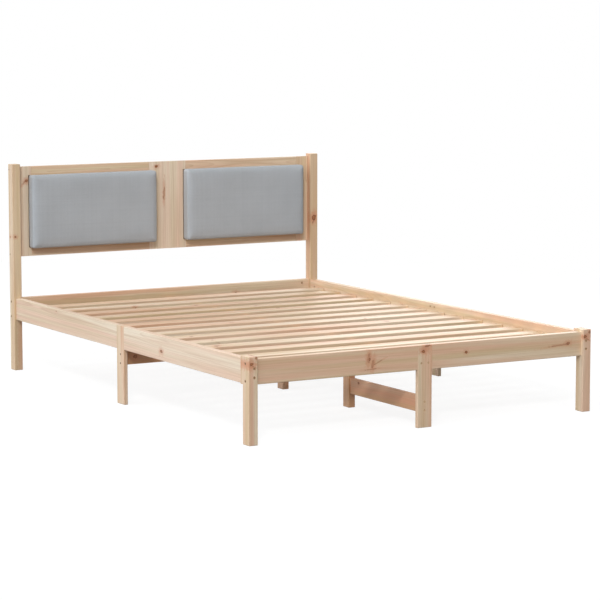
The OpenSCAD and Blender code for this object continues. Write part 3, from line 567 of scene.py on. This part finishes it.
# %% [markdown]
# Plywood shows thin layers on its edges and a calm face, and dowels are plain close-grained beech. Screws and
# bolts are zinc-plated steel. A bright metal takes its looks from what it mirrors, and among pine boards it
# reads as a warm grey, so the plating is mixed a little warm, with a faint mottle. The screws of the cross
# board get a darker copy of the plating, painted shade for their place under the deck. The pads' boards carry
# painted shadow on all but their plain backs, a thin dark line round each pad.

# %% Plywood, beech and zinc-plated steel
def plain_wood(name, node, grain, seed, pale, dark, layer):
    """Wood without clear rings. A layer above zero is the thickness of plywood's layers, with dark glue."""
    material, tree, out = new_material(name)
    place, _, _ = grain_position(tree, node, grain, seed)
    rings = use_group(tree, RING_GROUP, {"Position": place, "Seed": seed * SEED_STEP, "Bend": 0.0})
    colour = blend(tree, calc(tree, "MULTIPLY", rings["Late"], 0.35), pale, dark)
    colour = blend(tree, ease(tree, rings["Streak"], 0.3, 0.8, 0.0, 0.5), colour, dark)
    if layer > 0:
        depth = add(tree, "SeparateXYZ", {0: add(tree, "TexCoord").outputs["Object"]}).outputs["Y"]
        ply = calc(tree, "FRACT", calc(tree, "DIVIDE", depth, 2 * layer))
        colour = blend(tree, ease(tree, ply, 0.48, 0.56, 0.0, 0.35), colour, dark)
    end_material(tree, out, {"Base Color": colour, "Roughness": 0.6, "Specular IOR Level": 0.3})
    return material


def zinc(name, shade, light):
    """Plated steel whose colour and gloss wander a little between two tints."""
    material, tree, out = new_material(name)
    place = add(tree, "TexCoord").outputs["Object"]
    mottle = add(tree, "TexNoise", {"Vector": place, "Scale": 900.0, "Detail": 2.0}).outputs["Fac"]
    roughness = ease(tree, mottle, 0.3, 0.7, 0.26, 0.42)
    colour = blend(tree, mottle, shade, light)
    end_material(tree, out, {"Base Color": colour, "Metallic": 1.0, "Roughness": roughness})
    return material


print("plain wood and zinc ready")

# %% Dress the pads' boards, the dowels and the steel
PLY_LAYER = 0.0015
BACKWARD = 0.9
PLY, PLY_GLUE = srgb(224, 202, 166), srgb(194, 162, 122)
SHADOW_LINE_PLY, SHADOW_LINE_GLUE = srgb(122, 109, 96), srgb(100, 88, 76)
BEECH, BEECH_LATE = srgb(214, 178, 138), srgb(190, 150, 110)
ZINC = zinc("zinc plate", srgb(166, 136, 106), srgb(190, 160, 128))
# Painted shade: a darker copy of the plating for the cross board's screws under the deck.
SHADED_ZINC = zinc("shaded zinc plate", srgb(112, 88, 66), srgb(134, 108, 84))
STEEL_WORDS = ("screws", "bolts", "nuts", "brackets")
SHADED_SCREWS = "cross_board_screws"
DOWELS = "headboard_dowels"

for node, seed in (("panel_backing_left", 51), ("panel_backing_right", 52)):
    dress(node, plain_wood("plywood " + node, node, "X", seed, PLY, PLY_GLUE, PLY_LAYER))
    # Painted shadow: all faces but the back get dark plywood, a thin dark line round the pad.
    shadow_line = plain_wood("shadow painted plywood " + node, node, "X", seed, SHADOW_LINE_PLY, SHADOW_LINE_GLUE, PLY_LAYER)
    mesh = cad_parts[node].data
    mesh.materials.append(shadow_line)
    for face in mesh.polygons:
        face.material_index = 0 if face.normal.y > BACKWARD else 1
dress(DOWELS, plain_wood("beech dowels", DOWELS, "X", 61, BEECH, BEECH_LATE, 0.0))
steel_nodes = [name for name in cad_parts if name.endswith(STEEL_WORDS)]
for node in steel_nodes:
    dress(node, SHADED_ZINC if node == SHADED_SCREWS else ZINC)
print("steel nodes", len(steel_nodes))

# %% [markdown]
# The key sockets of the bolts are small and deep, so little light comes back out of them and they look darker
# than the head round them. Their faces get a darker copy of the plating, a painted shade. Their faces are the
# ones close to a bolt's own axis, just behind the rim of its head.

# %% Darken the key sockets
SOCKET_REACH = 0.0030
SOCKET_START = 0.0002
SOCKET_DEPTH = 0.006
BOLT_WAYS = {"head_rail_bolts": 0, "foot_rail_bolts": 0, "side_rail_head_bolts": 1, "side_rail_foot_bolts": 1}


def joined_faces(mesh):
    """Groups of faces that touch, found from corners at the same place."""
    owner = {}

    def find(key):
        while owner.setdefault(key, key) != key:
            key = owner[key]
        return key

    keys = [tuple(round(v, 6) for v in vertex.co) for vertex in mesh.vertices]
    for face in mesh.polygons:
        first = find(keys[face.vertices[0]])
        for index in face.vertices[1:]:
            owner[find(keys[index])] = first
    groups = {}
    for face in mesh.polygons:
        groups.setdefault(find(keys[face.vertices[0]]), []).append(face)
    return list(groups.values())


# Painted shade: a darker plating for the key sockets.
SOCKET_SHADE = zinc("shaded socket", srgb(140, 106, 78), srgb(158, 122, 92))
sockets = 0
for node, way in BOLT_WAYS.items():
    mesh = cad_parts[node].data
    mesh.materials.append(SOCKET_SHADE)
    others = [axis for axis in range(3) if axis != way]
    for faces in joined_faces(mesh):
        corners = [mesh.vertices[index].co for face in faces for index in face.vertices]
        low = [min(corner[axis] for corner in corners) for axis in range(3)]
        high = [max(corner[axis] for corner in corners) for axis in range(3)]
        outward = 1 if low[way] + high[way] > 0 else -1
        rim = high[way] if outward > 0 else -low[way]
        middle = [(low[axis] + high[axis]) / 2 for axis in others]
        for face in faces:
            spots = [mesh.vertices[index].co for index in face.vertices]
            reach = max(math.dist([spot[axis] for axis in others], middle) for spot in spots)
            depth = max(rim - outward * spot[way] for spot in spots)
            if reach < SOCKET_REACH and SOCKET_START < depth < SOCKET_DEPTH:
                face.material_index = 1
                sockets += 1
print("socket faces", sockets)

# %% [markdown]
# A pad is foam under a tight woven cover on a thin board. Seen end on, its front is nearly flat, rolls softly
# over the edge, runs back along a short side and tucks in a little behind, against the board, whose edge
# carries a painted shadow, a thin dark line. The mesh is a front grid, rings that follow that outline, and a
# back grid,
# all closed. Each point also keeps its place on the flat cloth, so the weave later follows the cloth round
# the edge.

# %% Sheet of cells for one pad
CELL = 0.0085
CORNER_ROUND = 0.012
ROLL_WIDE = 0.019
ROLL_DEEP = 0.009
TUCK_WIDE = 0.004
TUCK_DEEP = 0.012
ROLL_STEPS = 6
SIDE_STEPS = 3
TUCK_STEPS = 4
ON_THE_BORDER = 0.9999


def side_profile(depth):
    """Rings from the front's border to the back: how far in from the outline, how far forward of the back."""
    rings = []
    for step in range(1, ROLL_STEPS + 1):
        angle = math.pi / 2 * step / ROLL_STEPS
        rings.append((ROLL_WIDE * (1 - math.sin(angle)), depth - ROLL_DEEP * (1 - math.cos(angle))))
    for step in range(1, SIDE_STEPS + 1):
        rings.append((0.0, depth - ROLL_DEEP - (depth - ROLL_DEEP - TUCK_DEEP) * step / SIDE_STEPS))
    for step in range(1, TUCK_STEPS + 1):
        angle = math.pi / 2 * step / TUCK_STEPS
        rings.append((TUCK_WIDE * (1 - math.cos(angle)), TUCK_DEEP * (1 - math.sin(angle))))
    return rings


def rounded_point(x, z, half_w, half_h, radius):
    """Moves a point of a sharp rectangle's outline onto the same rectangle with round corners."""
    core_x = max(-(half_w - radius), min(half_w - radius, x))
    core_z = max(-(half_h - radius), min(half_h - radius, z))
    out = Vector((x - core_x, z - core_z))
    return Vector((core_x, core_z)) + out.normalized() * radius


def outline_cells(count_x, count_z):
    """Grid indices round the border, in order, each once."""
    bottom = [(i, 0) for i in range(count_x)]
    right = [(count_x, j) for j in range(count_z)]
    top = [(i, count_z) for i in range(count_x, 0, -1)]
    left = [(0, j) for j in range(count_z, 0, -1)]
    return bottom + right + top + left


def sheet_object(name, points, flat, faces, held):
    """Makes the object, keeps each point's place on the flat cloth and groups the held points as fixed."""
    mesh = bpy.data.meshes.new(name)
    mesh.from_pydata(points, [], faces)
    layer = mesh.uv_layers.new(name="cloth")
    for loop in mesh.loops:
        layer.data[loop.index].uv = flat[loop.vertex_index]
    for face in mesh.polygons:
        face.use_smooth = True
    pad = bpy.data.objects.new(name, mesh)
    bpy.context.scene.collection.objects.link(pad)
    fixed = pad.vertex_groups.new(name="fixed")
    fixed.add(held, 1.0, "REPLACE")
    print(name, "cells", len(faces), "points", len(points))
    return pad


def pad_sheet(name, low, high):
    """The starting form of a pad between two corners. Its back is the vertex group fixed."""
    half_w, half_h = (high.x - low.x) / 2, (high.z - low.z) / 2
    depth = high.y - low.y
    centre = (low + high) / 2
    front_w, front_h = half_w - ROLL_WIDE, half_h - ROLL_WIDE
    count_x, count_z = round(2 * front_w / CELL), round(2 * front_h / CELL)
    points, flat, faces, grid = [], [], [], {}

    def put(x, z, forward, cloth):
        points.append(Vector((centre.x + x, high.y - forward, centre.z + z)))
        flat.append(cloth)
        return len(points) - 1

    cells = [(i, j) for j in range(count_z) for i in range(count_x)]
    for j in range(count_z + 1):
        for i in range(count_x + 1):
            x, z = front_w * (2 * i / count_x - 1), front_h * (2 * j / count_z - 1)
            grid[(i, j)] = put(x, z, depth, (x, z))
    for i, j in cells:
        faces.append((grid[(i, j)], grid[(i + 1, j)], grid[(i + 1, j + 1)], grid[(i, j + 1)]))
    border = outline_cells(count_x, count_z)
    previous = [grid[cell] for cell in border]
    run, last = 0.0, (ROLL_WIDE, depth)
    for inset, forward in side_profile(depth):
        run += math.dist(last, (inset, forward))
        last = (inset, forward)
        current = []
        for i, j in border:
            u, v = 2 * i / count_x - 1, 2 * j / count_z - 1
            outer = rounded_point(u * half_w, v * half_h, half_w, half_h, CORNER_ROUND)
            spot = outer.lerp(Vector((u * front_w, v * front_h)), inset / ROLL_WIDE)
            on_x, on_z = abs(u) > ON_THE_BORDER, abs(v) > ON_THE_BORDER
            cloth = (u * front_w + on_x * math.copysign(run, u), v * front_h + on_z * math.copysign(run, v))
            current.append(put(spot.x, spot.y, forward, cloth))
        for k in range(len(border)):
            n = (k + 1) % len(border)
            faces.append((previous[n], previous[k], current[k], current[n]))
        previous = current
    back = dict(zip(border, previous))
    shrink = (half_w - TUCK_WIDE) / half_w
    for j in range(1, count_z):
        for i in range(1, count_x):
            x, z = half_w * shrink * (2 * i / count_x - 1), half_h * shrink * (2 * j / count_z - 1)
            back[(i, j)] = put(x, z, 0.0, (x, z))
    for i, j in cells:
        faces.append((back[(i, j)], back[(i, j + 1)], back[(i + 1, j + 1)], back[(i + 1, j)]))
    return sheet_object(name, points, flat, faces, list(back.values()))


print("sheet ready")

# %% [markdown]
# The foam pushes the cover out and the staples hold its back. A cloth simulation does the same: the back is
# pinned, air pressure swells the front, and gravity is off. Foam is firmer than air, so the movement is
# evened out over neighbouring points and then limited softly. The same start gives the same pad each run.

# %% Swell the cover by simulation
SWELL_FRAMES = 20
SWELL_PRESSURE = 4.0
SWELL_LIMIT = 0.0040
EVEN_ROUNDS = 14


def simulate_cloth(pad):
    """Runs the cloth for a short time and returns where it takes each point."""
    cloth = pad.modifiers.new("cover", "CLOTH")
    cloth.settings.quality = 6
    cloth.settings.mass = 0.25
    cloth.settings.tension_stiffness = 25.0
    cloth.settings.compression_stiffness = 25.0
    cloth.settings.shear_stiffness = 12.0
    cloth.settings.bending_stiffness = 1.2
    cloth.settings.use_pressure = True
    cloth.settings.uniform_pressure_force = SWELL_PRESSURE
    cloth.settings.vertex_group_mass = "fixed"
    cloth.settings.effector_weights.gravity = 0.0
    cloth.collision_settings.use_collision = False
    cloth.point_cache.frame_end = SWELL_FRAMES
    for number in range(1, SWELL_FRAMES + 1):
        bpy.context.scene.frame_set(number)
    swollen = pad.evaluated_get(bpy.context.evaluated_depsgraph_get())
    finish = [vertex.co.copy() for vertex in swollen.data.vertices]
    pad.modifiers.remove(cloth)
    bpy.context.scene.frame_set(1)
    return finish


def swell(pad):
    """Moves the pad's points as the cloth does, evened out and within a soft limit."""
    vertices = pad.data.vertices
    finish = simulate_cloth(pad)
    moves = [after - vertex.co for vertex, after in zip(vertices, finish)]
    most = max(move.length for move in moves)
    held = {vertex.index for vertex in vertices if vertex.groups}
    near = [[] for _ in vertices]
    for edge in pad.data.edges:
        first, second = edge.vertices
        near[first].append(second)
        near[second].append(first)
    for _ in range(EVEN_ROUNDS):
        middle = [sum((moves[n] for n in near[k]), Vector()) / len(near[k]) for k in range(len(moves))]
        moves = [moves[k] if k in held else (moves[k] + middle[k]) / 2 for k in range(len(moves))]
    for vertex, move in zip(vertices, moves):
        if move.length > 1e-9:
            vertex.co += move.normalized() * SWELL_LIMIT * math.tanh(move.length / SWELL_LIMIT)
    print(pad.name, "swelled by up to", round(most * 1000, 1), "mm before the limit")


print("simulation ready")

# %% [markdown]
# The cover is a plain weave in two close greys, with yarns about a millimetre apart. Warp and weft pass over
# and under each other like a chessboard. Each yarn has its own shade and wanders a little, which gives the
# cloth its faint streaks in both directions. The pattern reads the flat cloth coordinates that the sheet
# kept.

# %% Node group for a plain weave
YARN_PITCH = 0.0011
YARN_WANDER = 0.9


def make_weave_group():
    """The height of the yarns over the cloth, and a shade for each yarn."""
    tree, entry, leave = group_tree(
        "plain weave",
        {"Cloth": "Vector", "Pitch": "Float"},
        {"Height": "Float", "Shade": "Float"},
    )
    cloth = entry.outputs["Cloth"]
    axes = add(tree, "SeparateXYZ", {0: cloth})
    wander = add(tree, "TexNoise", {"Vector": cloth, "Scale": 35.0, "Detail": 1.0}).outputs["Fac"]
    wander = ease(tree, wander, 0.0, 1.0, -YARN_WANDER, YARN_WANDER)
    warp = calc(tree, "ADD", calc(tree, "DIVIDE", axes.outputs["X"], entry.outputs["Pitch"]), wander)
    weft = calc(tree, "SUBTRACT", calc(tree, "DIVIDE", axes.outputs["Y"], entry.outputs["Pitch"]), wander)
    warp_round = calc(tree, "SINE", calc(tree, "MULTIPLY", calc(tree, "FRACT", warp), math.pi))
    weft_round = calc(tree, "SINE", calc(tree, "MULTIPLY", calc(tree, "FRACT", weft), math.pi))
    cell = calc(tree, "ADD", calc(tree, "FLOOR", warp), calc(tree, "FLOOR", weft))
    over = calc(tree, "PINGPONG", cell, 1.0)
    under = calc(tree, "SUBTRACT", 1.0, over)
    warp_top = calc(tree, "MULTIPLY", over, warp_round)
    weft_top = calc(tree, "MULTIPLY", under, weft_round)
    tree.links.new(calc(tree, "ADD", warp_top, weft_top), leave.inputs["Height"])
    weft_number = calc(tree, "ADD", calc(tree, "FLOOR", weft), 0.5)
    warp_yarn = add(tree, "TexWhiteNoise", {"W": calc(tree, "FLOOR", warp)}, noise_dimensions="1D")
    weft_yarn = add(tree, "TexWhiteNoise", {"W": weft_number}, noise_dimensions="1D")
    warp_shade = calc(tree, "MULTIPLY", over, warp_yarn.outputs["Value"])
    weft_shade = calc(tree, "MULTIPLY", under, weft_yarn.outputs["Value"])
    tree.links.new(calc(tree, "ADD", warp_shade, weft_shade), leave.inputs["Shade"])
    return tree


WEAVE_GROUP = make_weave_group()
print("group", WEAVE_GROUP.name, "with yarns", YARN_PITCH * 1000, "mm apart")

# %% Grey upholstery fabric
PALE_YARN = srgb(190, 194, 198)
DARK_YARN = srgb(179, 183, 187)
WEAVE_RELIEF = 0.0003


def upholstery(name):
    """The pads' cover: the weave in two greys, with painted shade in its hollows and a faint cloudiness."""
    material, tree, out = new_material(name)
    cloth = add(tree, "UVMap", uv_map="cloth").outputs["UV"]
    weave = use_group(tree, WEAVE_GROUP, {"Cloth": cloth, "Pitch": YARN_PITCH})
    colour = blend(tree, weave["Shade"], DARK_YARN, PALE_YARN)
    # Painted shade: the weave's hollows are darkened.
    hollow_shade = ease(tree, weave["Height"], 0.0, 0.7, 0.82, 1.0)
    colour = blend(tree, 1.0, colour, hollow_shade, "MULTIPLY")
    place = add(tree, "TexCoord").outputs["Object"]
    cloud = add(tree, "TexNoise", {"Vector": place, "Scale": 7.0, "Detail": 3.0}).outputs["Fac"]
    colour = blend(tree, 1.0, colour, ease(tree, cloud, 0.3, 0.7, 0.965, 1.02), "MULTIPLY")
    bump = add(tree, "Bump", {"Height": weave["Height"], "Strength": 0.6, "Distance": WEAVE_RELIEF})
    end_material(tree, out, {
        "Base Color": colour, "Roughness": 0.9, "Specular IOR Level": 0.2, "Normal": bump.outputs["Normal"],
        "Sheen Weight": 0.25, "Sheen Roughness": 0.5})
    return material


FABRIC = upholstery("grey upholstery")
print("fabric", FABRIC.name)

# %% Make both pads
WAVE_SIZE = 9.0
WAVE_HEIGHT = 0.0009


def soften(pad, seed):
    """Adds the slow hand-made unevenness of foam under cloth, fading to nothing at the pinned edge."""
    back = max(vertex.co.y for vertex in pad.data.vertices)
    front = min(vertex.co.y for vertex in pad.data.vertices)
    for vertex in pad.data.vertices:
        share = (back - vertex.co.y) / (back - front)
        wave = noise.noise(vertex.co * WAVE_SIZE + Vector((seed, 0, 0)))
        wave += 0.5 * noise.noise(vertex.co * WAVE_SIZE * 3 + Vector((0, seed, 0)))
        vertex.co.y += WAVE_HEIGHT * share * wave


for node, seed in (("panel_pad_left", 11.0), ("panel_pad_right", 27.0)):
    low, high = (Vector(corner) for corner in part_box(node))
    pad = pad_sheet(node + "_cover", low, high)
    swell(pad)
    soften(pad, seed)
    smooth = pad.modifiers.new("smooth", "SUBSURF")
    smooth.levels = 1
    smooth.render_levels = 1
    pad.data.materials.append(FABRIC)
    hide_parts(node)
    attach(pad, "root")
